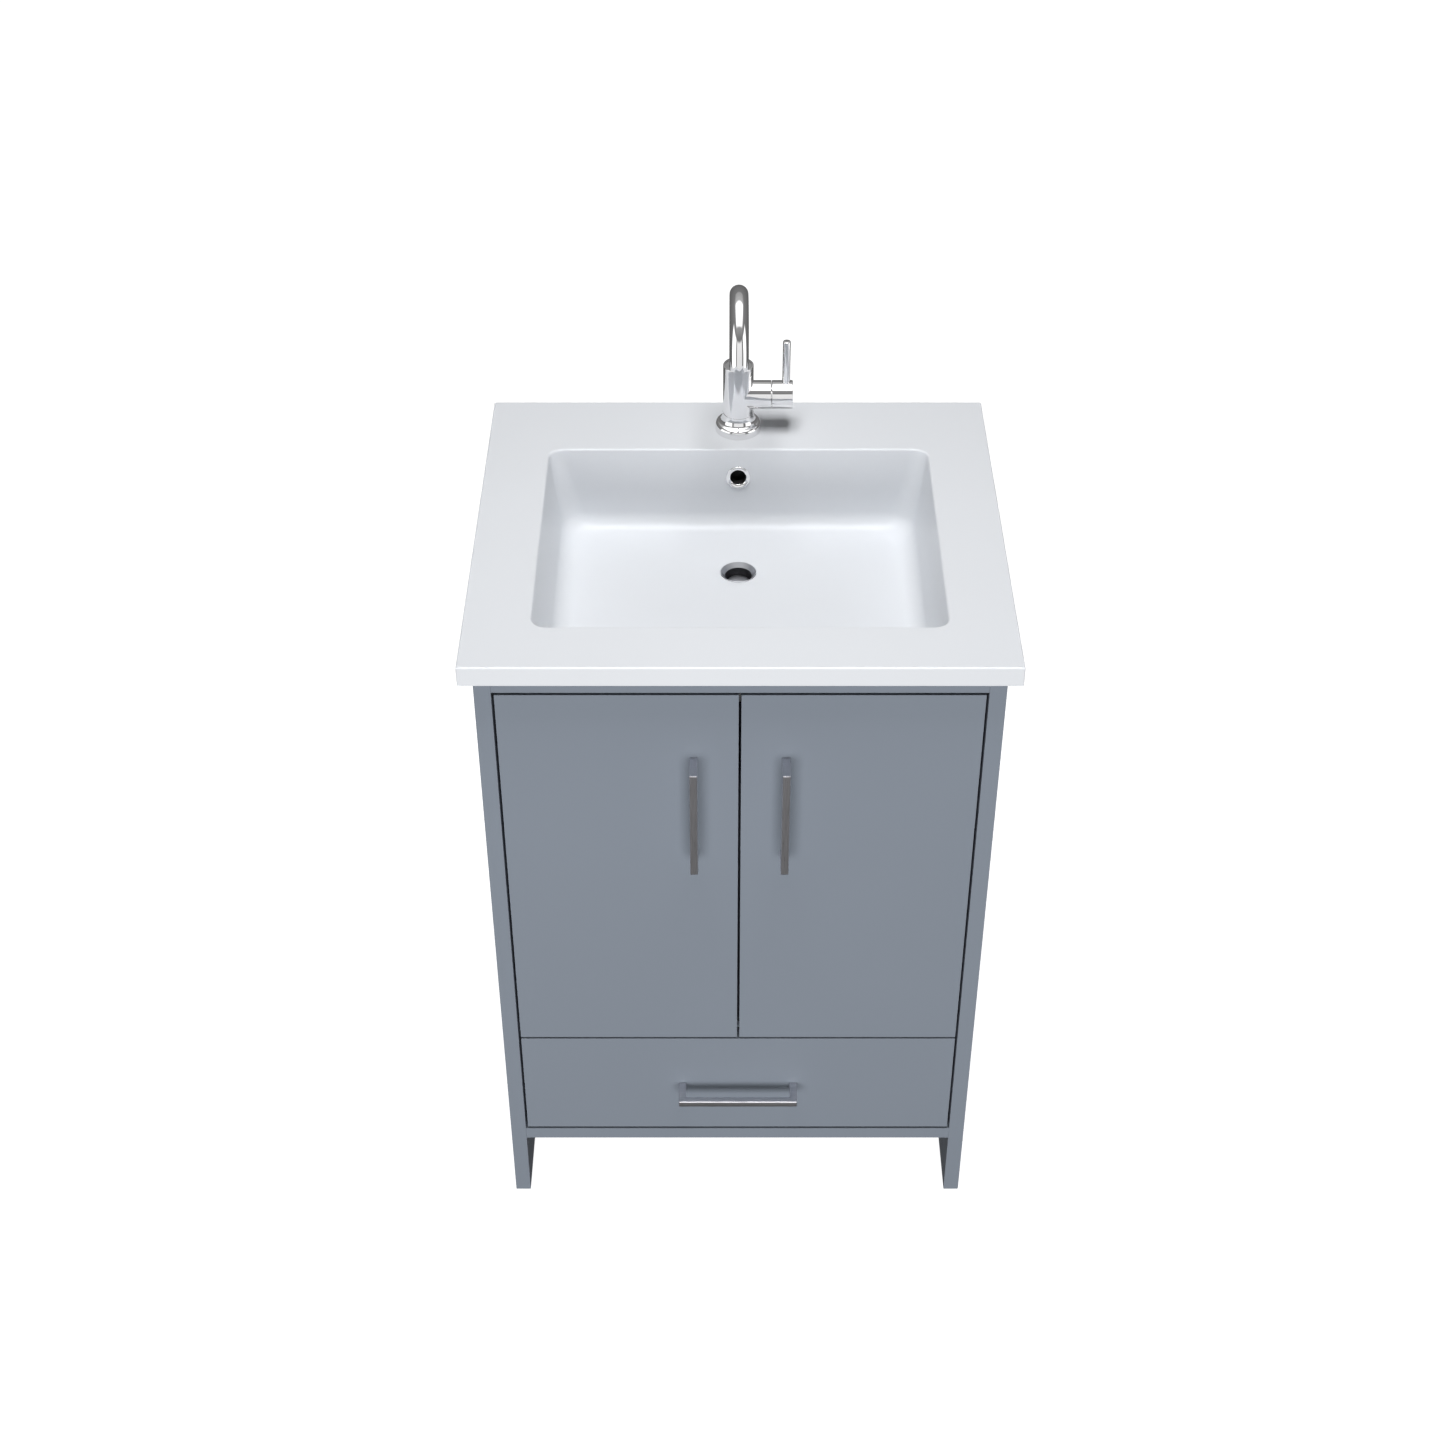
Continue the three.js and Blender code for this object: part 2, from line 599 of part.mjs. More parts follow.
// ---------------------------------------------------------------- handles
// A U-shaped bar that stands out towards -Y from the face at y = 0 and runs up from z = 0, with its two screws.
function barHandle(name) {
  const back = HANDLE_BAR - HANDLE_REACH;
  const bar = prismAlongX([
    [0, 0],
    [-HANDLE_REACH, 0],
    [-HANDLE_REACH, HANDLE_LENGTH],
    [0, HANDLE_LENGTH],
    [0, HANDLE_LENGTH - HANDLE_BAR],
    [back, HANDLE_LENGTH - HANDLE_BAR],
    [back, HANDLE_BAR],
    [0, HANDLE_BAR],
  ], -HANDLE_BAR / 2, HANDLE_BAR / 2);
  const posts = [HANDLE_BAR / 2, HANDLE_LENGTH - HANDLE_BAR / 2];
  const holes = posts.map((z) => alongY(rod(SCREW_RADIUS + CLEARANCE, -SCREW_GRIP - 1, 1, 10)).translate(0, 0, z));
  const group = groupAt(0, 0, 0, piece(`${name}_handle`, cut(bar, ...holes), nickel()));
  posts.forEach((z, i) => {
    const headZ = PANEL_THICKNESS;
    const screw = alongY(turned([
      [0, -SCREW_GRIP],
      [SCREW_RADIUS, -SCREW_GRIP],
      [SCREW_RADIUS, headZ],
      [SCREW_HEAD_RADIUS, headZ],
      [SCREW_HEAD_RADIUS, headZ + SCREW_HEAD_HEIGHT / 2],
      [SCREW_HEAD_RADIUS - 1.5, headZ + SCREW_HEAD_HEIGHT],
      [0, headZ + SCREW_HEAD_HEIGHT],
    ], 10));
    group.add(piece(`${name}_handle_screw_${i + 1}`, screw, zinc(), 0, 0, z));
  });
  return group;
}

function screwHoles(places) {
  return places.map(([x, z]) => alongY(rod(SCREW_RADIUS + 0.5, -1, PANEL_THICKNESS + 1, 10)).translate(x, 0, z));
}

// ---------------------------------------------------------------- doors and hinges
const DOOR_HEIGHT = DOOR_TOP_Z - DOOR_BOTTOM_Z;
const DOOR_OUTER_X = INNER_X - REVEAL;
const DOOR_PIVOT_X = DOOR_OUTER_X - DOOR_PIVOT_INSET;
const HINGES = [
  { word: "lower", z: HINGE_FROM_END },
  { word: "upper", z: DOOR_HEIGHT - HINGE_FROM_END },
];

function hingeCup(name) {
  const mouth = PANEL_THICKNESS;
  const cup = alongY(turned([
    [0, mouth - CUP_DEPTH],
    [CUP_RADIUS, mouth - CUP_DEPTH],
    [CUP_RADIUS, mouth + CUP_FLANGE],
    [CUP_RADIUS - 1.5, mouth + CUP_FLANGE],
    [CUP_RADIUS - 1.5, mouth - CUP_DEPTH + 1.5],
    [0, mouth - CUP_DEPTH + 1.5],
  ], 24));
  const hollow = alongY(rod(CUP_RADIUS - 0.75, mouth - 2, mouth + 3, 24));
  const wing = cut(block([-7, mouth, -27], [7, mouth + CUP_FLANGE, 27]), hollow);
  return piece(name, join(cup, wing), nickel());
}

// The door's own frame has its origin on the pivot, at the door's bottom and front face.
function door({ word, sign }) {
  const name = `door_${word}`;
  const inner = DOOR_PIVOT_X - REVEAL / 2;
  const [low, high] = mirrored(-sign, [-DOOR_PIVOT_INSET, 0, 0], [inner, PANEL_THICKNESS, DOOR_HEIGHT]);
  const cupX = sign * (DOOR_PIVOT_INSET - CUP_FROM_EDGE);
  const bores = HINGES.map(({ z }) =>
    alongY(rod(CUP_RADIUS + CLEARANCE, PANEL_THICKNESS - CUP_DEPTH - CLEARANCE, PANEL_THICKNESS + 1, 24))
      .translate(cupX, 0, z));
  const handleX = sign * (DOOR_HANDLE_X - DOOR_PIVOT_X);
  const handleZ = DOOR_HANDLE_Z - DOOR_BOTTOM_Z;
  const holes = screwHoles([
    [handleX, handleZ + HANDLE_BAR / 2],
    [handleX, handleZ + HANDLE_LENGTH - HANDLE_BAR / 2],
  ]);
  const handle = barHandle(name);
  handle.position.set(handleX, 0, handleZ);
  const cups = HINGES.map((hinge) => {
    const cup = hingeCup(`${name}_hinge_cup_${hinge.word}`);
    cup.position.set(cupX, 0, hinge.z);
    return cup;
  });
  return groupAt(
    sign * DOOR_PIVOT_X, FRONT_Y, DOOR_BOTTOM_Z,
    piece(`${name}_panel`, cut(block(low, high), ...bores, ...holes), paint()),
    handle,
    ...cups,
  );
}

// The fixed half of each hinge: a plate on the side panel, and an arm that reaches to the back of the cup.
function hingeArms({ word, sign }) {
  const plateInnerX = INNER_X - HINGE_PLATE_THICKNESS;
  const tipX = DOOR_OUTER_X - CUP_FROM_EDGE - 9;
  const armFront = FRONT_Y + PANEL_THICKNESS + SHUT_GAP;
  const armBack = armFront + 66;
  const armThickness = 8;
  return HINGES.flatMap((hinge) => {
    const z = DOOR_BOTTOM_Z + hinge.z;
    const points = [
      [plateInnerX, armBack],
      [plateInnerX, armFront + 16],
      [plateInnerX - 4, armFront],
      [tipX, armFront],
      [tipX, armFront + armThickness - 2],
      [plateInnerX - armThickness - 6, armFront + armThickness],
      [plateInnerX - armThickness, armFront + 18],
      [plateInnerX - armThickness, armBack],
    ].map(([x, y]) => [sign * x, y]);
    const plate = mirrored(sign, [plateInnerX, armFront + 26, z - 18], [INNER_X, armFront + 62, z + 18]);
    const arm = prismAlongZ(points, -8, 8);
    return [
      board(`hinge_plate_${word}_${hinge.word}`, nickel(), ...plate),
      piece(`hinge_arm_${word}_${hinge.word}`, arm, nickel(), 0, 0, z),
    ];
  });
}

// ---------------------------------------------------------------- drawer and slides
function drawer() {
  const frontX = INNER_X - REVEAL;
  const height = DRAWER_TOP_Z - DRAWER_BOTTOM_Z;
  const postX = HANDLE_LENGTH / 2 - HANDLE_BAR / 2;
  const handleZ = DRAWER_HANDLE_Z - DRAWER_BOTTOM_Z;
  const holes = screwHoles([[-postX, handleZ], [postX, handleZ]]);
  const face = cut(block([-frontX, 0, 0], [frontX, PANEL_THICKNESS, height]), ...holes);
  const handle = barHandle("drawer");
  handle.position.set(-HANDLE_LENGTH / 2, 0, handleZ);
  handle.rotation.y = Math.PI / 2;
  const boxFront = PANEL_THICKNESS;
  const boxBack = boxFront + DRAWER_BOX_DEPTH;
  const boxBottom = DRAWER_BOX_Z - DRAWER_BOTTOM_Z;
  const boxTop = boxBottom + DRAWER_BOX_HEIGHT;
  const innerX = DRAWER_BOX_X - DRAWER_SIDE;
  const baseTop = boxBottom + DRAWER_BASE;
  const sides = SIDES.map(({ word, sign }) => {
    const corners = mirrored(sign, [innerX, boxFront, boxBottom], [DRAWER_BOX_X, boxBack, boxTop]);
    return board(`drawer_side_${word}`, birch(), ...corners);
  });
  return groupAt(
    0, FRONT_Y, DRAWER_BOTTOM_Z,
    piece("drawer_front", face, paint()),
    handle,
    ...sides,
    board("drawer_back", birch(), [-innerX, boxBack - DRAWER_SIDE, baseTop], [innerX, boxBack, boxTop]),
    board("drawer_base", birch(), [-innerX, boxFront, boxBottom], [innerX, boxBack, baseTop]),
  );
}

// A C-shaped sheet channel: the web stands at webX, and the lips reach to lipX.
function channel(webX, lipX, height, front, back) {
  const inward = Math.sign(lipX - webX) * SLIDE_SHEET;
  const half = height / 2;
  return prismAlongY([
    [webX, -half],
    [lipX, -half],
    [lipX, SLIDE_SHEET - half],
    [webX + inward, SLIDE_SHEET - half],
    [webX + inward, half - SLIDE_SHEET],
    [lipX, half - SLIDE_SHEET],
    [lipX, half],
    [webX, half],
  ], front, back);
}

function slides() {
  const front = FRONT_Y + PANEL_THICKNESS + SHUT_GAP + 1;
  const back = front + DRAWER_BOX_DEPTH;
  const innerFront = FRONT_Y + PANEL_THICKNESS;
  return SIDES.flatMap(({ word, sign }) => {
    const member = (name, webX, lipX, height, start, end) =>
      piece(`slide_${name}_${word}`, channel(sign * webX, sign * lipX, height, start, end), zinc(), 0, 0, SLIDE_Z);
    return [
      member("outer", INNER_X, 262, 46, front, back),
      member("middle", 268.75, 260.5, 41.5, front, back),
      member("inner", DRAWER_BOX_X, 266.25, 37, innerFront, innerFront + DRAWER_BOX_DEPTH),
    ];
  });
}

// ---------------------------------------------------------------- the whole vanity
const vanity = new THREE.Group();
vanity.add(
  cabinet(),
  sinkTop(),
  drain(),
  stopper(),
  groupAt(0, TAP_Y, DECK_Z, ...tapFixed(), ...spout(), cartridge(), ...lever()),
  ...SIDES.map(door),
  ...SIDES.flatMap(hingeArms),
  drawer(),
  ...slides(),
);

export default vanity;
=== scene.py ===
"""The looks of a free-standing bathroom vanity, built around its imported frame.

Blender works in metres, +Z up, front towards -Y. Lengths in the shapes below are in millimetres, and are
multiplied by MM where they become metres.
"""
import itertools
import json
import math

import bmesh
import bpy
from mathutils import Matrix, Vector


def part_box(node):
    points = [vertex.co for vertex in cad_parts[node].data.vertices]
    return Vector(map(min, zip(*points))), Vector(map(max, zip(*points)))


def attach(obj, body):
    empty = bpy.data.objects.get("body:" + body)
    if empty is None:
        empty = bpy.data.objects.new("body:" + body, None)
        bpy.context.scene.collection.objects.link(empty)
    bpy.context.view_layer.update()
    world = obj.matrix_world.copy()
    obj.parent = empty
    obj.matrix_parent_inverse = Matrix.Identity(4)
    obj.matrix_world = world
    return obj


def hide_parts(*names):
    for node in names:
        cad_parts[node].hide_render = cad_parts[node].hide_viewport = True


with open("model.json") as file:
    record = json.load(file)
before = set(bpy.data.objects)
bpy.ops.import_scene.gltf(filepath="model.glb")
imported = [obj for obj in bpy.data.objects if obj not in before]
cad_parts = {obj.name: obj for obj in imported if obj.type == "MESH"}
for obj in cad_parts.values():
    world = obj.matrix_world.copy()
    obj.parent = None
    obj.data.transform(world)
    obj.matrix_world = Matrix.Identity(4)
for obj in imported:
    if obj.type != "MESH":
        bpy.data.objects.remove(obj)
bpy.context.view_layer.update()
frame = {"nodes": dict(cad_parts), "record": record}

MM = 0.001
scene = bpy.context.scene


# ---------------------------------------------------------------- camera
CAMERA_PLACE = (-0.01923, -2.20123, 2.37070)
CAMERA_LENS = 57.05
CAMERA_DOWN = 39.017


def make_camera():
    """Looks down at the front and the top, from almost three metres away."""
    data = bpy.data.cameras.new("camera")
    data.sensor_width = 36
    data.lens = CAMERA_LENS
    camera = bpy.data.objects.new("camera", data)
    camera.location = CAMERA_PLACE
    camera.rotation_euler = (math.radians(90 - CAMERA_DOWN), 0, 0)
    scene.collection.objects.link(camera)
    scene.camera = camera


# ---------------------------------------------------------------- materials
class Nodes:
    """A short way to add and link the nodes of one material."""

    def __init__(self, name):
        self.material = bpy.data.materials.new(name)
        self.material.use_nodes = True
        self.tree = self.material.node_tree
        self.shader = self.tree.nodes["Principled BSDF"]

    def add(self, kind, **values):
        """Adds a node, and sets its properties and inputs by name."""
        node = self.tree.nodes.new(kind)
        for key, value in values.items():
            if hasattr(node, key):
                setattr(node, key, value)
            else:
                node.inputs[key.replace("_", " ")].default_value = value
        return node

    def link(self, source, target):
        self.tree.links.new(source, target)

    def set(self, **values):
        """Sets sockets of the shader itself."""
        for key, value in values.items():
            self.shader.inputs[key.replace("_", " ")].default_value = value

    def coordinates(self, stretch=(1, 1, 1)):
        """Positions on the object at rest, in metres, stretched along each axis."""
        place = self.add("ShaderNodeTexCoord")
        mapping = self.add("ShaderNodeMapping", Scale=stretch)
        self.link(place.outputs["Object"], mapping.inputs["Vector"])
        return mapping.outputs["Vector"]

    def noise(self, scale, detail=3.0, stretch=(1, 1, 1)):
        node = self.add("ShaderNodeTexNoise", Scale=scale, Detail=detail)
        self.link(self.coordinates(stretch), node.inputs["Vector"])
        return node.outputs["Fac"]

    def ramp(self, source, low, high, start=0.3, end=0.7):
        """A colour that runs from low to high as the source goes from start to end."""
        node = self.add("ShaderNodeValToRGB")
        for element, place, colour in zip(node.color_ramp.elements, (start, end), (low, high)):
            element.position = place
            element.color = (*colour, 1)
        self.link(source, node.inputs["Fac"])
        return node.outputs["Color"]

    def spread(self, source, low, high):
        """Maps a source of 0 to 1 onto a range."""
        node = self.add("ShaderNodeMapRange")
        node.inputs["To Min"].default_value = low
        node.inputs["To Max"].default_value = high
        self.link(source, node.inputs["Value"])
        return node.outputs["Result"]

    def bump(self, source, strength, distance):
        node = self.add("ShaderNodeBump", Strength=strength, Distance=distance)
        self.link(source, node.inputs["Height"])
        return node.outputs["Normal"]


def scaled(colour, amount):
    """A lighter or darker tone of a colour."""
    return tuple(c * amount for c in colour)


def painted(name, colour):
    """Sprayed satin paint: a faint drift in tone, and an orange-peel bump."""
    n = Nodes(name)
    drift = n.noise(3.0, 2.0)
    n.link(n.ramp(drift, scaled(colour, 0.985), scaled(colour, 1.015)), n.shader.inputs["Base Color"])
    n.link(n.spread(n.noise(40.0), 0.40, 0.50), n.shader.inputs["Roughness"])
    n.link(n.bump(n.noise(900.0, 2.0), 0.06, 0.00015), n.shader.inputs["Normal"])
    n.set(Specular_IOR_Level=0.12)
    return n.material


def glazed(name, colour):
    """White glaze: nearly even, with a slow ripple in its surface."""
    n = Nodes(name)
    drift = n.noise(5.0, 2.0)
    n.link(n.ramp(drift, scaled(colour, 0.992), scaled(colour, 1.004)), n.shader.inputs["Base Color"])
    n.link(n.spread(n.noise(25.0), 0.28, 0.34), n.shader.inputs["Roughness"])
    n.link(n.bump(n.noise(60.0, 1.0), 0.03, 0.0003), n.shader.inputs["Normal"])
    n.set(Specular_IOR_Level=0.3)
    return n.material


def polished(name, colour):
    """Bright plate, with the faintest haze."""
    n = Nodes(name)
    n.link(n.ramp(n.noise(60.0), scaled(colour, 0.97), colour), n.shader.inputs["Base Color"])
    n.link(n.spread(n.noise(150.0), 0.03, 0.07), n.shader.inputs["Roughness"])
    n.set(Metallic=1.0)
    return n.material


def brushed(name, colour, rough=(0.24, 0.36), grain=(1, 1, 1)):
    """Satin metal, with fine scratches drawn out along one direction."""
    n = Nodes(name)
    scratches = n.noise(1.0, 4.0, grain)
    n.link(n.ramp(scratches, scaled(colour, 0.88), scaled(colour, 1.08)), n.shader.inputs["Base Color"])
    n.link(n.spread(scratches, *rough), n.shader.inputs["Roughness"])
    n.link(n.bump(scratches, 0.12, 0.0001), n.shader.inputs["Normal"])
    n.set(Metallic=1.0)
    return n.material


def soft_plastic(name, colour, rough):
    """Moulded plastic or rubber, with a fine texture."""
    n = Nodes(name)
    n.link(n.ramp(n.noise(30.0), scaled(colour, 0.93), scaled(colour, 1.05)), n.shader.inputs["Base Color"])
    n.link(n.spread(n.noise(400.0), rough - 0.08, rough + 0.08), n.shader.inputs["Roughness"])
    n.link(n.bump(n.noise(1500.0), 0.10, 0.0001), n.shader.inputs["Normal"])
    return n.material


def plywood(name, light, dark, stretch=(140, 7, 140)):
    """Lacquered birch, its grain running along the axis that stretch gives the smallest number."""
    n = Nodes(name)
    grain = n.noise(1.0, 6.0, stretch)
    n.link(n.ramp(grain, dark, light, 0.32, 0.66), n.shader.inputs["Base Color"])
    n.link(n.spread(grain, 0.42, 0.56), n.shader.inputs["Roughness"])
    n.link(n.bump(grain, 0.15, 0.0002), n.shader.inputs["Normal"])
    return n.material


SCREW_SCRATCHES = (1600, 60, 60)
UPRIGHT = (1600, 1600, 40)
SIDEWAYS = (40, 1600, 1600)
NICKEL = (0.66, 0.652, 0.68)
BIRCH_LIGHT = (0.66, 0.50, 0.31)
BIRCH_DARK = (0.50, 0.35, 0.19)

MATERIALS = {
    "paint": painted("satin_paint", (0.232, 0.262, 0.307)),
    "ceramic": glazed("white_glaze", (0.775, 0.796, 0.828)),
    "chrome": polished("chrome_plate", (0.86, 0.855, 0.86)),
    "brushed_nickel": brushed("brushed_nickel", NICKEL, grain=SCREW_SCRATCHES),
    "zinc_steel": brushed("zinc_plate", (0.56, 0.57, 0.58), (0.30, 0.42), (60, 500, 60)),
    "brass": brushed("machined_brass", (0.62, 0.45, 0.20), (0.25, 0.38), (60, 60, 2500)),
    "rubber": soft_plastic("black_rubber", (0.016, 0.016, 0.018), 0.72),
    "birch": plywood("birch_plywood", BIRCH_LIGHT, BIRCH_DARK),
    "plastic": soft_plastic("acetal", (0.72, 0.72, 0.70), 0.45),
}
NICKEL_UPRIGHT = brushed("brushed_nickel_upright", NICKEL, grain=UPRIGHT)
NICKEL_SIDEWAYS = brushed("brushed_nickel_sideways", NICKEL, grain=SIDEWAYS)
BIRCH_SIDEWAYS = plywood("birch_plywood_sideways", BIRCH_LIGHT, BIRCH_DARK, (7, 140, 140))
# Near-black painted shade for the faces inside the overflow duct and down the drain's bore, where light doesn't
# reach.
PAINTED_SHADE = soft_plastic("painted_shade_black", (0.012, 0.012, 0.014), 0.45)
DRAIN_SATIN = brushed("drain_satin_chrome", (0.50, 0.51, 0.54), (0.34, 0.42), (40, 40, 40))


# ---------------------------------------------------------------- mesh helpers
def edge_smoothing():
    """A node group that shades faces smooth and keeps creases sharper than its angle."""
    group = bpy.data.node_groups.new("smooth_by_crease", "GeometryNodeTree")
    group.interface.new_socket("Geometry", in_out="INPUT", socket_type="NodeSocketGeometry")
    group.interface.new_socket("Geometry", in_out="OUTPUT", socket_type="NodeSocketGeometry")
    new, link = group.nodes.new, group.links.new
    source, sink = new("NodeGroupInput"), new("NodeGroupOutput")
    faces, edges = new("GeometryNodeSetShadeSmooth"), new("GeometryNodeSetShadeSmooth")
    angle, gentle = new("GeometryNodeInputMeshEdgeAngle"), new("FunctionNodeCompare")
    faces.domain, edges.domain = "FACE", "EDGE"
    gentle.operation = "LESS_THAN"
    gentle.inputs["B"].default_value = math.radians(35)
    link(source.outputs[0], faces.inputs["Geometry"])
    link(faces.outputs[0], edges.inputs["Geometry"])
    link(angle.outputs["Unsigned Angle"], gentle.inputs["A"])
    link(gentle.outputs[0], edges.inputs["Shade Smooth"])
    link(edges.outputs[0], sink.inputs[0])
    return group


SMOOTHING = edge_smoothing()
SAME_POINT = 1e-7
ON_AXIS = 1e-6


def smooth(obj):
    """Shades a piece smooth, apart from its creases."""
    obj.modifiers.new("smooth", "NODES").node_group = SMOOTHING


def ease_edges(obj, width, segments=3):
    """Rounds a piece's arrises for show, leaving its mesh alone."""
    weld = obj.modifiers.new("weld", "WELD")
    weld.merge_threshold = 0.01 * MM
    bevel = obj.modifiers.new("bevel", "BEVEL")
    bevel.width = width
    bevel.segments = segments
    bevel.limit_method = "ANGLE"
    bevel.angle_limit = math.radians(40)
    smooth(obj)
    weighted = obj.modifiers.new("normals", "WEIGHTED_NORMAL")
    weighted.keep_sharp = True


def solid(name, verts, faces):
    """A closed mesh with its faces turned outwards, as an object in the scene."""
    mesh = bpy.data.meshes.new(name)
    mesh.from_pydata([tuple(v) for v in verts], [], faces)
    bm = bmesh.new()
    bm.from_mesh(mesh)
    bmesh.ops.remove_doubles(bm, verts=bm.verts, dist=SAME_POINT)
    bmesh.ops.recalc_face_normals(bm, faces=bm.faces)
    bm.to_mesh(mesh)
    bm.free()
    obj = bpy.data.objects.new(name, mesh)
    scene.collection.objects.link(obj)
    return obj


def piece(name, verts, faces, body, slot, material=None, stands_for=None):
    """A visible piece that rides on a body, in place of a CAD node if stands_for names one."""
    obj = solid(name, verts, faces)
    obj.data.materials.append(material or MATERIALS[slot])
    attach(obj, body)
    if stands_for:
        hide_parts(stands_for)
    return obj


def line_inside(obj, material, is_inside):
    """Gives a second material to the faces whose corners, in millimetres, all pass a test."""
    obj.data.materials.append(material)
    for face in obj.data.polygons:
        if all(is_inside(obj.data.vertices[i].co / MM) for i in face.vertices):
            face.material_index = 1


def beyond(centre, angle, distance):
    """The point a distance away from another in a profile's plane, at an angle in degrees."""
    turn = math.radians(angle)
    return centre[0] + distance * math.cos(turn), centre[1] + distance * math.sin(turn)


def arc(centre, radius, start, end, steps):
    """Points on an arc in a profile's plane, by angles in degrees."""
    return [beyond(centre, start + (end - start) * i / steps, radius) for i in range(steps + 1)]


def spin(profile, centre, axis=(0, 0, 1), segments=72):
    """Turns a profile of (radius, height), in millimetres, about an axis through a centre in metres.

    The skin closes at the axis where the profile starts and ends on it, and on itself where it doesn't.
    """
    turn = Vector((0, 0, 1)).rotation_difference(Vector(axis).normalized()).to_matrix()
    centre = Vector(centre)
    verts, faces, rows = [], [], []
    for radius, height in profile:
        if radius < ON_AXIS:
            verts.append(centre + turn @ Vector((0, 0, height * MM)))
            rows.append([len(verts) - 1] * segments)
            continue
        rows.append(list(range(len(verts), len(verts) + segments)))
        for i in range(segments):
            angle = 2 * math.pi * i / segments
            local = Vector((radius * math.cos(angle), radius * math.sin(angle), height)) * MM
            verts.append(centre + turn @ local)
    closed = profile[0][0] < ON_AXIS and profile[-1][0] < ON_AXIS
    pairs = list(zip(rows, rows[1:])) + ([] if closed else [(rows[-1], rows[0])])
    for low, high in pairs:
        for i in range(segments):
            j = (i + 1) % segments
            corners = [low[i], low[j], high[j], high[i]]
            unique = list(dict.fromkeys(corners))
            if len(unique) > 2:
                faces.append(unique)
    return verts, faces


def sweep(path, sections):
    """A closed skin through circles on a path in the YZ plane, all in metres.

    Each section is (index on the path, radius).
    """
    count = 48
    side = Vector((1, 0, 0))
    verts, faces, rows = [], [], []
    for index, radius in sections:
        before, after = path[max(index - 1, 0)], path[min(index + 1, len(path) - 1)]
        along = (after - before).normalized()
        up = along.cross(side)
        rows.append(list(range(len(verts), len(verts) + count)))
        for i in range(count):
            angle = 2 * math.pi * i / count
            verts.append(path[index] + radius * (math.cos(angle) * side + math.sin(angle) * up))
    for low, high in zip(rows, rows[1:]):
        for i in range(count):
            j = (i + 1) % count
            faces.append([low[i], low[j], high[j], high[i]])
    faces.append(rows[0][::-1])
    faces.append(rows[-1])
    return verts, faces


def cut_with(obj, tool_verts, tool_faces, operation="DIFFERENCE"):
    """Cuts a throwaway solid out of a piece, or joins it on, and keeps the result in the piece's mesh."""
    tool = solid("tool", tool_verts, tool_faces)
    modifier = obj.modifiers.new("cut", "BOOLEAN")
    modifier.operation = operation
    modifier.solver = "EXACT"
    modifier.object = tool
    bpy.context.view_layer.update()
    done = bpy.data.meshes.new_from_object(obj.evaluated_get(bpy.context.evaluated_depsgraph_get()))
    obj.modifiers.remove(modifier)
    spent = (obj.data, tool.data)
    obj.data = done
    bpy.data.objects.remove(tool)
    for mesh in spent:
        bpy.data.meshes.remove(mesh)


# ---------------------------------------------------------------- ceramic top
top_low, top_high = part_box("sink_top")
DECK = top_high.z / MM
SLAB = 25.0
FRONT, BACK = top_low.y / MM, top_high.y / MM
HALF = top_high.x / MM
# The basin's walls at the level of the deck, its depth, and the thickness of its shell.
BASIN = {"half": 229.5, "front": -190.0, "back": 171.0, "corner": 17.0, "depth": 105.0, "wall": 12.0}
# How far each wall of the basin leans in by its floor.
LEAN = {"side": 15.0, "back": 10.0, "front": 14.0}
COVE = 20.0
OVERFLOW_DEPTH = 38.0
drain_low, drain_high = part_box("drain_body")
DRAIN = Vector((0, (drain_low.y + drain_high.y) / 2, drain_high.z))
DRAIN_TOP = DECK - drain_high.z / MM
DRAIN_LIP = (drain_high.x - drain_low.x) / 2 / MM
DRAIN_SEAT = DRAIN_LIP + 0.3
DRAIN_HOLE = 19.6
tap_low, tap_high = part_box("tap_base")
TAP = Vector((0, (tap_low.y + tap_high.y) / 2, top_high.z))
TAP_HOLE = 17.5


def rectangle(half, front, back, corner, depth):
    """A ring of points round a rounded rectangle, its straight sides divided evenly."""
    corner_steps, side_steps = 10, 12
    centres = [(half - corner, back - corner), (corner - half, back - corner),
               (corner - half, front + corner), (half - corner, front + corner)]
    ring = []
    for quarter, (x, y) in enumerate(centres):
        for step in range(corner_steps + 1):
            angle = (quarter + step / corner_steps) * math.pi / 2
            ring.append(Vector((x + corner * math.cos(angle), y + corner * math.sin(angle), -depth)))
        next_x, next_y = centres[(quarter + 1) % 4]
        turn = (quarter + 1) * math.pi / 2
        start = ring[-1]
        end = Vector((next_x + corner * math.cos(turn), next_y + corner * math.sin(turn), -depth))
        ring += [start.lerp(end, i / side_steps) for i in range(1, side_steps)]
    return ring


def basin_ring(depth, inset=0.0, grow=0.0, corner=BASIN["corner"]):
    """A ring round the basin's walls at a depth, brought in by inset or let out by grow."""
    share = min(depth, BASIN["depth"]) / BASIN["depth"]
    return rectangle(
        BASIN["half"] + grow - inset - LEAN["side"] * share,
        BASIN["front"] - grow + inset + LEAN["front"] * share,
        BASIN["back"] + grow - inset - LEAN["back"] * share,
        corner, depth)


def round_drain(ring, radius, depth):
    """Carries each point of a ring in towards the drain, onto a circle."""
    centre = Vector((0, DRAIN.y / MM, 0))
    out = []
    for point in ring:
        away = Vector((point.x, point.y, 0)) - centre
        out.append(centre + away.normalized() * radius + Vector((0, 0, -depth)))
    return out


def blend_rings(a, b, share, depth):
    """A ring part of the way from one ring to another."""
    return [Vector((p.x + (q.x - p.x) * share, p.y + (q.y - p.y) * share, -depth)) for p, q in zip(a, b)]


def rounding(radius, angles):
    """How far a rounded edge has come in, and how far it is from its top, at each angle in degrees."""
    for angle in map(math.radians, angles):
        yield radius * (1 - math.cos(angle)), radius * (1 - math.sin(angle))


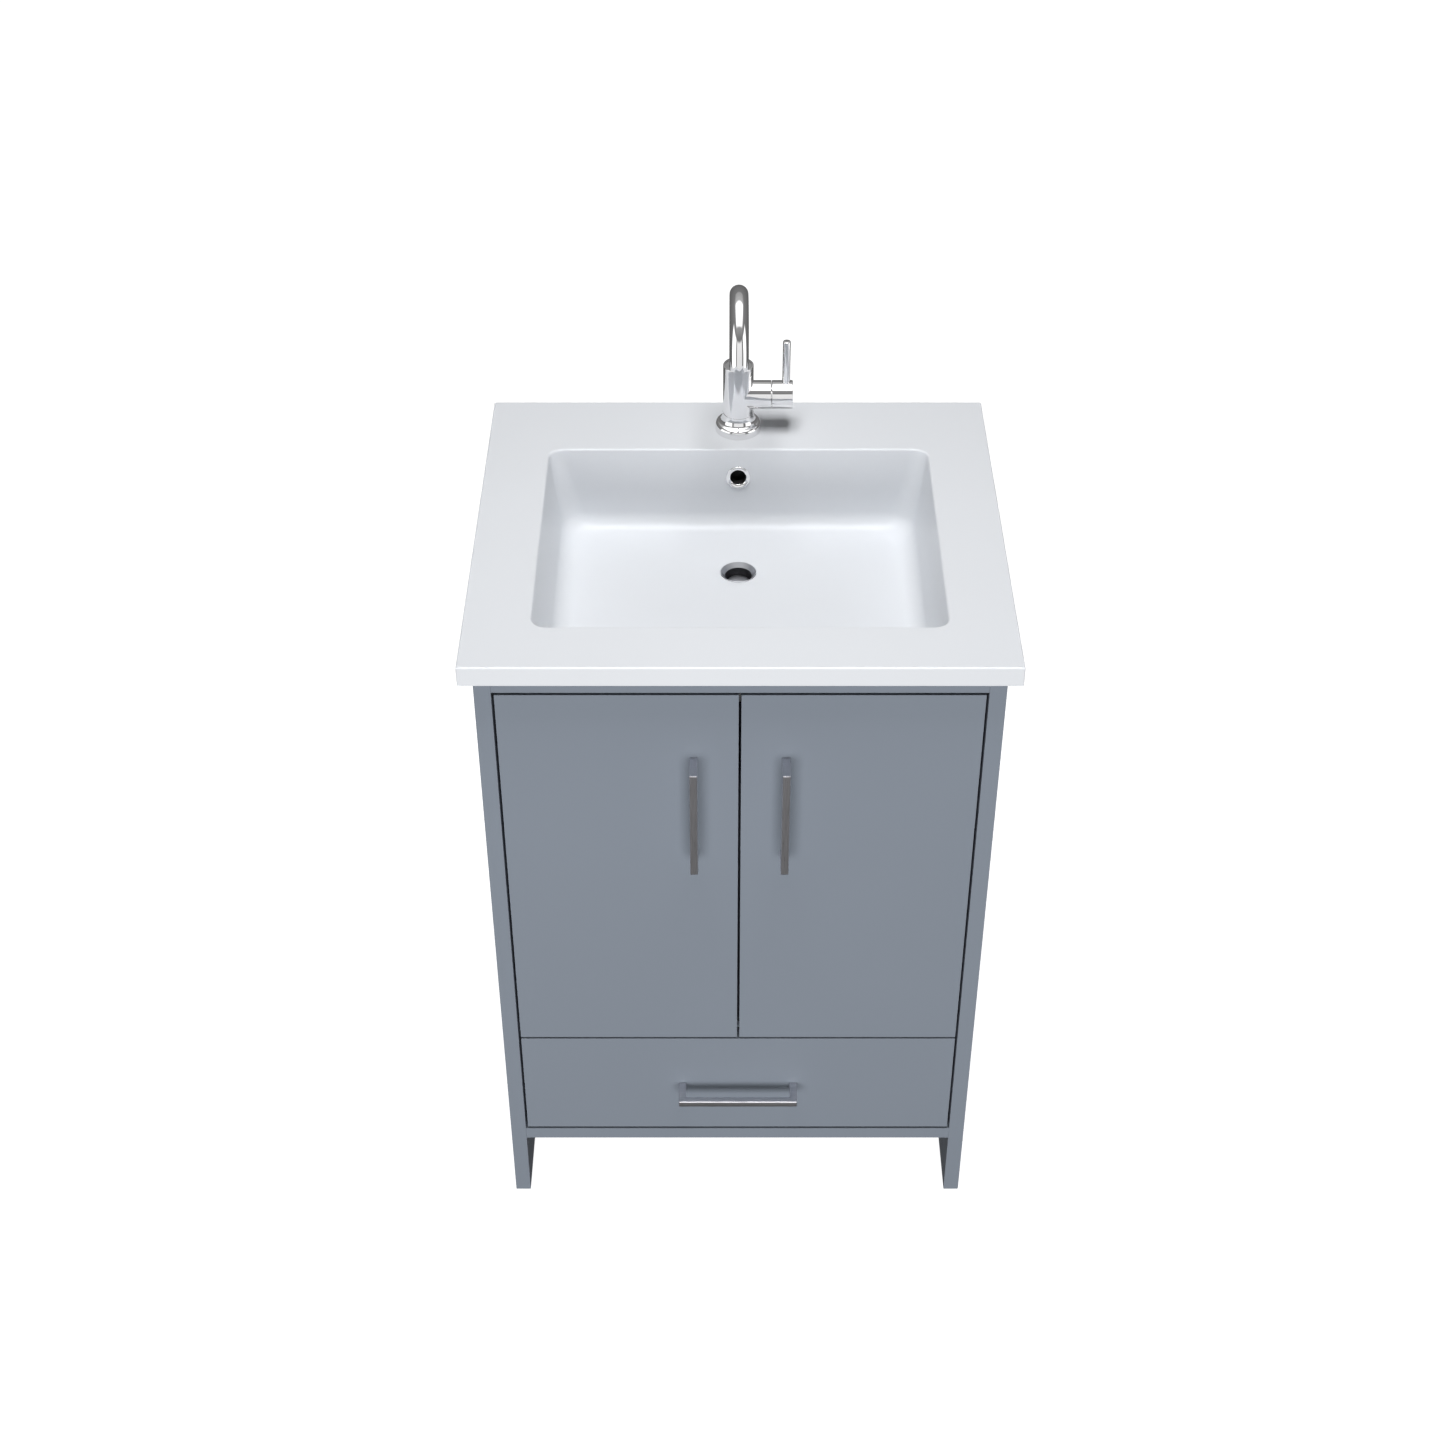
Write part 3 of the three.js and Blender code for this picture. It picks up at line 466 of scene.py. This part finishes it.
def slab_rings():
    """The slab's outside, from its underside up onto the deck."""
    lower_edge, upper_edge, corner = 1.0, 2.0, 1.5
    rings = []
    for inset, drop in rounding(lower_edge, range(-90, 1, 30)):
        depth = SLAB - 2 * lower_edge + drop
        rings.append(rectangle(HALF - inset, FRONT + inset, BACK - inset, corner, depth))
    for inset, drop in rounding(upper_edge, range(0, 91, 18)):
        rings.append(rectangle(HALF - inset, FRONT + inset, BACK - inset, corner + inset, drop))
    return rings


def bowl_rings():
    """The basin's inside, from its rim down its leaning walls to the edge of its floor."""
    rim, floor_corner = 2.5, BASIN["corner"] + 12
    rings = []
    for grow, drop in rounding(rim, range(90, -1, -15)):
        rings.append(basin_ring(drop, grow=grow, corner=BASIN["corner"] + grow))
    for depth in (20.0, 45.0, 70.0):
        rings.append(basin_ring(depth, corner=BASIN["corner"] + depth / 8))
    for inset, rise in rounding(COVE, range(0, 91, 10)):
        rings.append(basin_ring(BASIN["depth"] - rise, inset=inset, corner=floor_corner - inset / 4))
    return rings


def drain_rings(outer, under):
    """The floor's fall to the drain, the recess round it, and the hole through to the underside."""
    fall, steps, dish_radius = 4.0, 8, 36.0
    dish = round_drain(outer, dish_radius, 0)
    rings = []
    for i in range(1, steps + 1):
        share = i / steps
        depth = BASIN["depth"] + fall * (share + 0.25 * share * share) / 1.25
        rings.append(blend_rings(outer, dish, share, depth))
    # Each pair is a radius about the drain's axis and a depth under the deck.
    recess = ((33.0, 109.2), (30.0, 109.5), (27.0, 109.85), (24.5, 110.2), (22.6, 110.6), (21.9, 110.9))
    seat = ((DRAIN_SEAT, DRAIN_TOP + 1.2), (DRAIN_SEAT, DRAIN_TOP + 2.8), (DRAIN_HOLE, DRAIN_TOP + 2.8))
    for radius, depth in (*recess, *seat, (DRAIN_HOLE, under)):
        rings.append(round_drain(outer, radius, depth))
    return rings


def underside_rings(outer, under):
    """The basin's outside, from under the drain up to the slab."""
    wall, corner = BASIN["wall"], BASIN["corner"]
    boss = round_drain(outer, 40.0, 0)
    rings = [blend_rings(outer, boss, share, under) for share in (1.0, 0.6, 0.25, 0.0)]
    for inset, rise in rounding(COVE, range(80, -1, -16)):
        rings.append(basin_ring(under - rise, inset=inset, grow=wall, corner=corner + 20 - inset / 4))
    rings.append(basin_ring(SLAB + 4, grow=wall, corner=corner + wall))
    rings.append(basin_ring(SLAB, grow=wall + 4, corner=corner + wall + 4))
    return rings


def top_rings():
    """Rings over the whole skin of the top, each with the same number of points."""
    under = BASIN["depth"] + BASIN["wall"]
    bowl = bowl_rings()
    return slab_rings() + bowl + drain_rings(bowl[-1], under) + underside_rings(bowl[-1], under)


def box_solid(low, high):
    """A box's corners and faces, from its lowest and highest corners in millimetres."""
    verts = [Vector(corner) * MM for corner in itertools.product(*zip(low, high))]
    faces = [(0, 1, 3, 2), (4, 6, 7, 5), (0, 4, 5, 1), (2, 3, 7, 6), (0, 2, 6, 4), (1, 5, 7, 3)]
    return verts, faces


def ceramic_top():
    """The slab and basin as one skin, holed for the tap and the overflow, with the overflow's ring."""
    rings = top_rings()
    count = len(rings[0])
    verts = [(p + Vector((0, 0, DECK))) * MM for ring in rings for p in ring]
    faces = []
    for level in range(len(rings)):
        low, high = level * count, ((level + 1) % len(rings)) * count
        for i in range(count):
            j = (i + 1) % count
            faces.append((low + i, low + j, high + j, high + i))
    top = piece("sink_top_glazed", verts, faces, "cabinet", "ceramic", stands_for="sink_top")
    cut_with(top, *spin([(0, -40), (TAP_HOLE, -40), (TAP_HOLE, 10), (0, 10)], TAP))

    ring_low, ring_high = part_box("overflow_ring")
    bore, hole, rim = 9.8, 11.8, (ring_high.x - ring_low.x) / 2 / MM
    tilt = math.atan(LEAN["back"] / BASIN["depth"])
    outward = Vector((0, -math.cos(tilt), math.sin(tilt)))
    wall = BASIN["back"] - LEAN["back"] * OVERFLOW_DEPTH / BASIN["depth"]
    mouth = Vector((0, wall, DECK - OVERFLOW_DEPTH)) * MM
    cut_with(top, *spin([(0, -16), (hole, -16), (hole, 6), (0, 6)], mouth, outward))
    smooth(top)
    top.modifiers.new("normals", "WEIGHTED_NORMAL").keep_sharp = True

    sleeve = hole - 0.1
    profile = [(bore, -10), (sleeve, -10), (sleeve, 0.3), (rim - 0.1, 0.3)]
    profile += arc((rim - 1.2, 1.0), 1.1, -20, 100, 8) + [(bore + 0.5, 1.1), (bore, 0.5)]
    smooth(piece("overflow_ring_polished", *spin(profile, mouth, outward), "cabinet", "chrome",
                 stands_for="overflow_ring"))
    boss = [(DRAIN_HOLE, -41.5), (34, -41.5), (34, -5), (DRAIN_HOLE, -5)]
    smooth(piece("sink_underside_boss", *spin(boss, DRAIN), "cabinet", "ceramic"))


def underside_rib():
    """The moulded overflow duct, down the back of the basin and across to the drain's boss."""
    half, front, back, foot = 24.0, 104, 193.0, DECK - 152
    knee = DECK - 112
    outline = [(174, DECK - SLAB), (back, DECK - SLAB), (back, foot + 8), (back - 8, foot), (front, foot),
               (front, knee), (165, knee)]
    verts = [Vector((x, y, z)) * MM for x in (-half, half) for y, z in outline]
    count = len(outline)
    faces = [tuple(range(count)), tuple(range(2 * count - 1, count - 1, -1))]
    faces += [(i, (i + 1) % count, count + (i + 1) % count, count + i) for i in range(count)]
    rib = piece("sink_underside_duct", verts, faces, "cabinet", "ceramic")
    low, high = (-19.0, 150.0, DECK - 108), (19.0, back - 6, DECK - SLAB - 3)
    cut_with(rib, *box_solid(low, high))
    slack = 0.01
    # Painted shade: the faces inside the duct's cavity are made near-black.
    line_inside(rib, PAINTED_SHADE, lambda p: all(a - slack < c < b + slack for a, c, b in zip(low, p, high)))
    ease_edges(rib, 1.5 * MM)


# ---------------------------------------------------------------- waste fittings
def waste():
    """The drain's lipped body, its bore painted near-black as painted shade, and the stopper's domed cap."""
    bore, funnel, throat, thread, tube = 15.9, 5.4, 12.2, 17.0, 19.1
    profile = [(thread, -72), (tube, -72), (tube, -2.5), (DRAIN_LIP, -2.5)]
    profile += arc((DRAIN_LIP - 0.9, -0.9), 0.9, 0, 75, 6)
    profile += arc((bore + 1.2, -funnel - 0.6), 1.2, 130, 180, 5)
    profile += [(bore, -16.5), (throat, -22), (throat, -24.5), (thread, -28.5)]
    body = piece("drain_body_polished", *spin(profile, DRAIN), "cabinet", "chrome", DRAIN_SATIN, "drain_body")
    middle = DRAIN / MM
    # Painted shade: the bore's faces below the funnel are made near-black.
    line_inside(body, PAINTED_SHADE,
                lambda p: math.hypot(p.x, p.y - middle.y) < bore + 0.3 and p.z > middle.z - 25)
    smooth(body)
    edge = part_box("stopper_cap")[1].x / MM
    stem, under, shoulder = 3, -17.4, 1.7
    cap = [(0, -45), (stem, -45), (stem, under), (edge, under)]
    cap += arc((edge - shoulder, under + shoulder), shoulder, 0, 80, 6)
    cap += [(9, -13.95), (5, -13.82), (0, -13.8)]
    smooth(piece("stopper_cap_polished", *spin(cap, DRAIN), "stopper", "chrome", DRAIN_SATIN, "stopper_cap"))


# ---------------------------------------------------------------- tap
def tap_base():
    """The flange: an upright skirt, a rounded shoulder, then a hollow that sweeps up onto the body."""
    outer = (tap_high.x - tap_low.x) / 2 / MM
    skirt, bore = 6.9, 18.45
    shoulder, hollow, sweep_up = 5.5, 6.0, 21.0
    steep, gentle = 72, 25
    turn = (outer - shoulder, skirt)
    profile = [(bore, 1.5), (outer - 1.6, 1.5), (outer - 1.6, 0), (outer - 0.4, 0), (outer, 0.4)]
    profile += arc(turn, shoulder, 0, steep, 12)
    rise = beyond(turn, steep, shoulder + hollow)
    profile += arc(rise, hollow, 180 + steep, 180 + gentle, 10)[1:]
    last = beyond(rise, gentle, sweep_up - hollow)
    profile += arc(last, sweep_up, 180 + gentle, 180, 8)[1:]
    profile.append((bore, profile[-1][1]))
    smooth(piece("tap_base_polished", *spin(profile, TAP, segments=96), "cabinet", "chrome",
                 stands_for="tap_base"))


# The valve's axis runs out to the right of the column. The seam is where its turning end starts.
VALVE = TAP + Vector((0, 0, 48.5 * MM))
VALVE_RADIUS = 17.25
VALVE_SEAM = 40.4
SEAM_GAP = 0.6
ALONG_X = (1, 0, 0)


def tap_body():
    """The upright column, with the valve's housing out to its right, and a well for the spout."""
    column_radius, well, edge = 18.5, 11.4, 0.6
    top = (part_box("tap_body")[1].z - TAP.z) / MM
    column = [(0, 1.5), (column_radius, 1.5)] + arc((column_radius - edge, top - edge), edge, 0, 90, 4)
    column += [(16.6, top), (16.2, top - 0.4), (16.2, top - 1.4)]
    column += [(well, top - 1.4), (well, 47), (8, 47), (8, 2.5), (0, 2.5)]
    body = piece("tap_body_polished", *spin(column, TAP, segments=96), "cabinet", "chrome",
                 stands_for="tap_body")
    end, round_edge, pocket = VALVE_SEAM - SEAM_GAP / 2, 0.8, 13.3
    housing = [(0, 6), (VALVE_RADIUS, 6)]
    housing += arc((VALVE_RADIUS - round_edge, end - round_edge), round_edge, 0, 90, 4)
    housing += [(pocket, end), (pocket, 24), (0, 24)]
    cut_with(body, *spin(housing, VALVE, ALONG_X, 96), "UNION")
    cut_with(body, *spin([(0, 47), (well, 47), (well, 90), (0, 90)], TAP, segments=96))
    smooth(body)


def lever():
    """The valve's turning end, and the rod that stands up from it."""
    start, end, round_edge = VALVE_SEAM + SEAM_GAP / 2, 66.3, 0.8
    ring = VALVE_RADIUS - round_edge
    hub = [(0, start - 8), (5, start - 8), (5, start)]
    hub += arc((ring, start + round_edge), round_edge, -90, 0, 4)
    hub += arc((ring, end - round_edge), round_edge, 0, 90, 4) + [(0, end)]
    knob = piece("lever_hub_polished", *spin(hub, VALVE, ALONG_X, 96), "lever", "chrome",
                 stands_for="lever_hub")
    foot = VALVE + Vector((58.0 * MM, 0, 0))
    rod, socket, tip = 4.75, 4.95, 1.2
    cut_with(knob, *spin([(0, 2.7), (socket, 2.7), (socket, 25), (0, 25)], foot))
    smooth(knob)
    reach = (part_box("lever_rod")[1].z - foot.z) / MM
    stick = [(0, 3), (rod, 3)] + arc((rod - tip, reach - tip), tip, 0, 90, 6) + [(0, reach)]
    smooth(piece("lever_rod_polished", *spin(stick, foot, segments=48), "lever", "chrome",
                 stands_for="lever_rod"))


def spout():
    """The swan neck, hollow at its mouth, with the aerator set inside."""
    bend, spring, start, mouth, steps = 56.0, 151.5, 49.0, 149.5, 72
    path = [Vector((0, 0, start)), Vector((0, 0, spring))]
    for i in range(1, steps + 1):
        angle = math.pi * i / steps
        path.append(Vector((0, bend * (math.cos(angle) - 1), spring + bend * math.sin(angle))))
    path.append(Vector((0, -2 * bend, mouth + 0.5)))
    path.append(Vector((0, -2 * bend, mouth)))
    path = [TAP + p * MM for p in path]
    last = len(path) - 1
    radius, bore = 11.1, 9.5
    sections = [(i, radius * MM) for i in range(last)]
    sections += [(last, (radius - 0.4) * MM), (last, (bore + 0.3) * MM)]
    sections += [(last - 1, bore * MM), (last - 6, bore * MM)]
    smooth(piece("spout_polished", *sweep(path, sections), "spout", "chrome", stands_for="spout_tube"))
    aerator = [(0, 2.6), (6.2, 2.6), (6.4, 0.9), (8.6, 0.5), (8.9, 0.9), (8.9, 5), (0, 5.6)]
    smooth(piece("aerator_moulded", *spin(aerator, path[-1], segments=48), "spout", "plastic",
                 stands_for="spout_aerator"))


# ---------------------------------------------------------------- carried-over CAD nodes
HANDLES = {
    "door_left_handle": NICKEL_UPRIGHT,
    "door_right_handle": NICKEL_UPRIGHT,
    "drawer_handle": NICKEL_SIDEWAYS,
}
GRAINED = {**HANDLES, "drawer_back": BIRCH_SIDEWAYS}


def edge_of(name, slot):
    """A node's edge radius in millimetres, and the segments it is rounded with."""
    if slot in ("paint", "birch"):
        return 0.5, 3
    if name in HANDLES:
        return 1.5, 2
    if name.startswith("hinge_"):
        return 0.8, 2
    if name.startswith("slide_"):
        return 0.2, 2
    return 0.25, 2


def dress_cad_nodes():
    """Gives each CAD node its material and its softened edges."""
    slots = {s["node"]: s["material_slot"] for s in frame["record"]["subparts"]}
    for name, obj in frame["nodes"].items():
        slot = slots[name]
        obj.data.materials.clear()
        obj.data.materials.append(GRAINED.get(name, MATERIALS[slot]))
        radius, segments = edge_of(name, slot)
        ease_edges(obj, radius * MM, segments)


# ---------------------------------------------------------------- studio
WHITE = 0.95


class Sky:
    """A studio drawn on the sky: each softbox is a soft-edged patch of directions.

    A patch added with only=self.reflected shows in glossy surfaces and lights nothing else.
    """

    def __init__(self, world):
        world.use_nodes = True
        self.tree = world.node_tree
        self.background = self.tree.nodes["Background"]
        direction = self.tree.nodes.new("ShaderNodeTexCoord").outputs["Generated"]
        split = self.tree.nodes.new("ShaderNodeSeparateXYZ")
        self.tree.links.new(direction, split.inputs[0])
        self.x, self.y, self.z = split.outputs
        paths = self.tree.nodes.new("ShaderNodeLightPath").outputs
        self.seen, self.reflected = paths["Is Camera Ray"], paths["Is Glossy Ray"]
        self.light = None

    def math(self, operation, *values):
        node = self.tree.nodes.new("ShaderNodeMath")
        node.operation = operation
        for slot, value in zip(node.inputs, values):
            if isinstance(value, (int, float)):
                slot.default_value = value
            else:
                self.tree.links.new(value, slot)
        return node.outputs[0]

    def rise(self, value, middle, softness):
        """Goes smoothly from 0 to 1 across a middle value."""
        node = self.tree.nodes.new("ShaderNodeMapRange")
        node.interpolation_type = "SMOOTHSTEP"
        node.inputs["From Min"].default_value = middle - softness
        node.inputs["From Max"].default_value = middle + softness
        self.tree.links.new(value, node.inputs["Value"])
        return node.outputs["Result"]

    def between(self, value, low, high, softness):
        """1 between two values, with soft edges."""
        return self.math("SUBTRACT", self.rise(value, low, softness), self.rise(value, high, softness))

    def add(self, shape, brightness, only=None):
        """Adds a patch to the light."""
        part = self.math("MULTIPLY", shape, brightness)
        if only is not None:
            part = self.math("MULTIPLY", part, only)
        self.light = part if self.light is None else self.math("ADD", self.light, part)

    def overhead(self, low, high, softness, brightness, only=None):
        """A patch on the ceiling, its corners given at unit height."""
        height = self.math("MAXIMUM", self.z, 0.001)
        across = self.between(self.math("DIVIDE", self.x, height), low[0], high[0], softness)
        along = self.between(self.math("DIVIDE", self.y, height), low[1], high[1], softness)
        above = self.rise(self.z, 0.05, 0.04)
        self.add(self.math("MULTIPLY", self.math("MULTIPLY", across, along), above), brightness, only)

    def wall(self, azimuths, elevations, softness, brightness, only=None):
        """A patch of wall, by angles in degrees; azimuth 0 is straight in front of the object."""
        azimuth = self.math("ARCTAN2", self.x, self.math("MULTIPLY", self.y, -1.0))
        elevation = self.math("ARCSINE", self.z)
        soft = math.radians(softness)
        across = self.between(azimuth, *map(math.radians, azimuths), soft)
        upward = self.between(elevation, *map(math.radians, elevations), soft)
        self.add(self.math("MULTIPLY", across, upward), brightness, only)

    def finish(self):
        """Links the sum of the patches to the sky's colour."""
        colour = self.tree.nodes.new("ShaderNodeCombineColor")
        for socket in colour.inputs:
            self.tree.links.new(self.light, socket)
        self.tree.links.new(colour.outputs[0], self.background.inputs["Color"])


def area_light(name, place, aim, size, power):
    """A softbox that lights surfaces, and whose image is left to the sky."""
    data = bpy.data.lights.new(name, "AREA")
    data.shape = "RECTANGLE"
    data.size, data.size_y = size
    data.energy = power
    light = bpy.data.objects.new(name, data)
    light.location = place
    light.rotation_euler = (Vector(aim) - Vector(place)).to_track_quat("-Z", "Y").to_euler()
    light.visible_glossy = False
    scene.collection.objects.link(light)


def pale_floor():
    """A white floor that glows evenly, and takes no part in lighting the object."""
    bpy.ops.mesh.primitive_grid_add(x_subdivisions=8, y_subdivisions=8, size=60)
    floor = bpy.context.object
    floor.name = "studio_floor"
    n = Nodes("studio_floor")
    n.set(Base_Color=(0.5, 0.5, 0.5, 1), Roughness=1.0, Specular_IOR_Level=0.0,
          Emission_Color=(1, 1, 1, 1), Emission_Strength=WHITE)
    floor.data.materials.append(n.material)
    floor.visible_diffuse = False
    floor.visible_glossy = False


def studio_sky():
    """A faint fill from above, the pale backdrop, and the softboxes that polished metal mirrors."""
    world = bpy.data.worlds.new("studio")
    scene.world = world
    sky = Sky(world)
    sky.add(sky.rise(sky.z, 0.1, 0.6), 0.09)
    sky.add(sky.rise(sky.z, -3.0, 1.0), 0.13, only=sky.reflected)
    sky.add(sky.seen, WHITE)
    # The ceiling: its dim plane, the softbox on it, the softbox's bright middle, and a faint strip further back.
    sky.overhead((-0.95, -0.9), (0.95, 0.9), 0.40, 0.14, only=sky.reflected)
    sky.overhead((-0.72, -0.50), (0.72, 0.60), 0.12, 1.2, only=sky.reflected)
    sky.overhead((-0.26, -0.44), (0.26, 0.06), 0.10, 7, only=sky.reflected)
    sky.overhead((-0.80, 0.60), (0.80, 1.70), 0.30, 0.20, only=sky.reflected)
    # The walls: a softbox in front, and a brighter one on each side.
    for azimuths, brightness in (((-29, 34), 0.75), ((-90, -40), 1.4), ((50, 88), 1.4)):
        sky.wall(azimuths, (-28, 30), 4, brightness, only=sky.reflected)
    sky.finish()


def studio_lights():
    """A softbox over the basin, a wide one in front, and a low one on each side, further back."""
    area_light("overhead", (0, -0.35, 3.2), (0, 0, top_high.z), (1.1, 1.1), 53)
    area_light("front", (-0.1, -3.0, 0.65), (-0.02, 0, 0.5), (2.4, 1.3), 80)
    for name, x in (("left_fill", -3.2), ("right_fill", 3.2)):
        area_light(name, (x, 1.0, 0.55), (0, 0.1, 0.45), (1.6, 0.6), 34)


make_camera()
pale_floor()
studio_sky()
studio_lights()
scene.view_settings.view_transform = "Standard"
scene.view_settings.look = "None"

dress_cad_nodes()
ceramic_top()
underside_rib()
waste()
tap_base()
tap_body()
lever()
spout()
